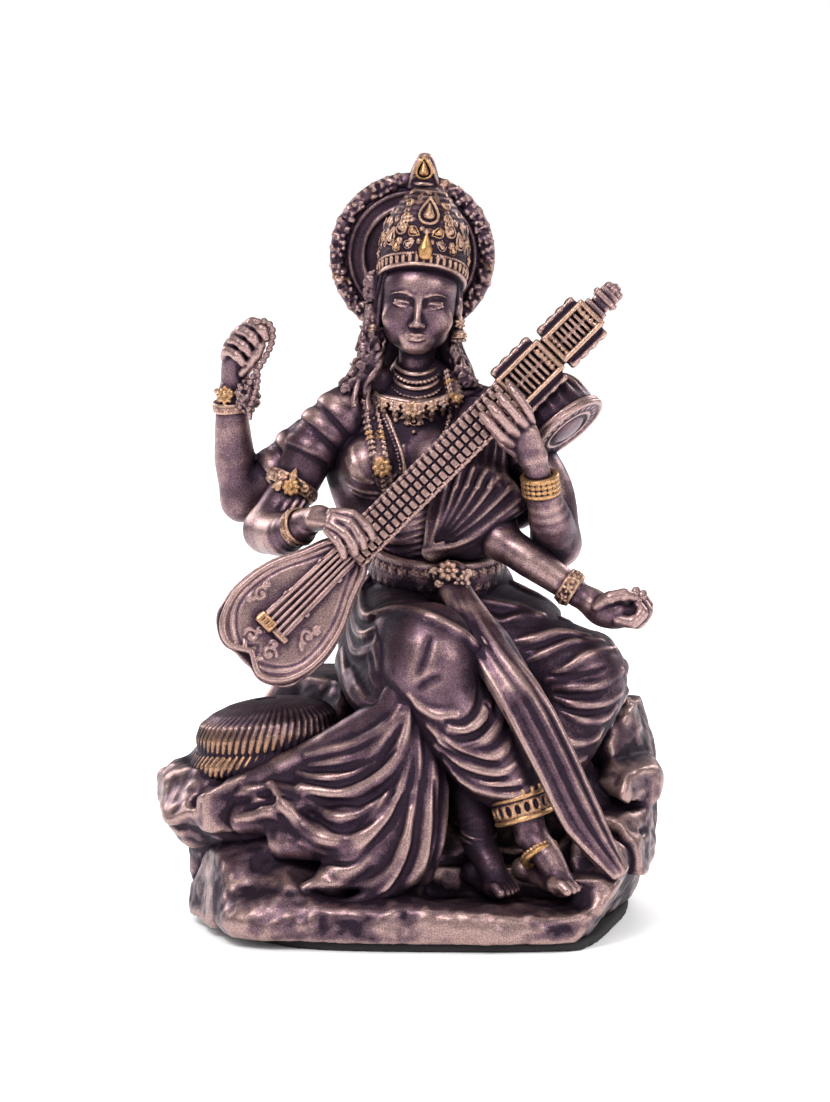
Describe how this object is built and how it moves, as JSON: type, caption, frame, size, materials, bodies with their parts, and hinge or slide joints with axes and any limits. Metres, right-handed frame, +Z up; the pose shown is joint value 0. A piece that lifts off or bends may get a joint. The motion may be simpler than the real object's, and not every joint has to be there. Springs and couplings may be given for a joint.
{
  "type": "seated goddess figurine",
  "caption": "Miniature cold-cast bronze figurine of a seated four-armed goddess playing a veena on a rock base, with a felt pad underneath.",
  "frame": {"origin": "middle of the felt pad's flat resting face", "axes": "+Z up, the figure faces -Y, +X towards the figure's left hand side"},
  "size_m": [0.06, 0.0455, 0.0892],
  "materials": {
    "antique_bronze": "cold-cast bronze resin, dark patina with the high points rubbed back to satin copper",
    "shadow_bronze": "cold-cast bronze resin, heavy purple-brown patina with fewer rubbed high points",
    "gilded_bronze": "cold-cast bronze resin, dry-brushed with antique gold",
    "rock_bronze": "cold-cast bronze resin, rough split-rock texture with copper edges",
    "felt": "thin dark non-slip felt"
  },
  "bodies": {
    "root": {"felt_pad": "felt", "veena_soundboard": "antique_bronze", "veena_bridge": "gilded_bronze", "veena_strings": "shadow_bronze", "veena_pegbox_lower": "gilded_bronze", "veena_pegbox_upper": "gilded_bronze", "veena_finial": "antique_bronze", "veena_fretboard": "shadow_bronze", "veena_neck": "shadow_bronze", "veena_bowl": "shadow_bronze", "head": "antique_bronze", "crown": "gilded_bronze", "right_earring": "gilded_bronze", "left_earring": "gilded_bronze", "halo_disc": "shadow_bronze", "halo_crest": "gilded_bronze", "halo_rim": "antique_bronze", "right_playing_hand": "antique_bronze", "left_fretting_hand": "antique_bronze", "left_offering_hand": "antique_bronze", "right_raised_hand": "antique_bronze", "prayer_beads": "shadow_bronze", "right_playing_forearm": "antique_bronze", "left_fretting_forearm": "antique_bronze", "left_offering_forearm": "antique_bronze", "right_raised_forearm": "antique_bronze", "torso": "antique_bronze", "right_playing_upper_arm": "antique_bronze", "right_raised_upper_arm": "shadow_bronze", "left_fretting_upper_arm": "antique_bronze", "left_offering_upper_arm": "shadow_bronze", "right_playing_bangle": "gilded_bronze", "left_fretting_bangle": "gilded_bronze", "left_offering_bangle": "gilded_bronze", "right_raised_bangle": "gilded_bronze", "right_armlet": "gilded_bronze", "collar_necklace": "gilded_bronze", "neck_rings": "gilded_bronze", "long_garland": "gilded_bronze", "short_garland": "gilded_bronze", "belt_clasp": "gilded_bronze", "waist_belt": "gilded_bronze", "hair": "shadow_bronze", "upper_gourd": "shadow_bronze", "gourd_rim": "antique_bronze", "left_foot": "antique_bronze", "right_foot": "antique_bronze", "right_anklet": "gilded_bronze", "right_ankle_cuff": "gilded_bronze", "front_sash": "antique_bronze", "right_leg_drape": "antique_bronze", "left_leg_drape": "antique_bronze", "fan_drape": "antique_bronze", "shoulder_cloth": "shadow_bronze", "lap_drape": "shadow_bronze", "seat_cushion": "gilded_bronze", "left_boulder": "rock_bronze", "right_ledges": "rock_bronze", "seat_rock": "rock_bronze", "rock_plinth": "rock_bronze"}
  },
  "joints": []
}
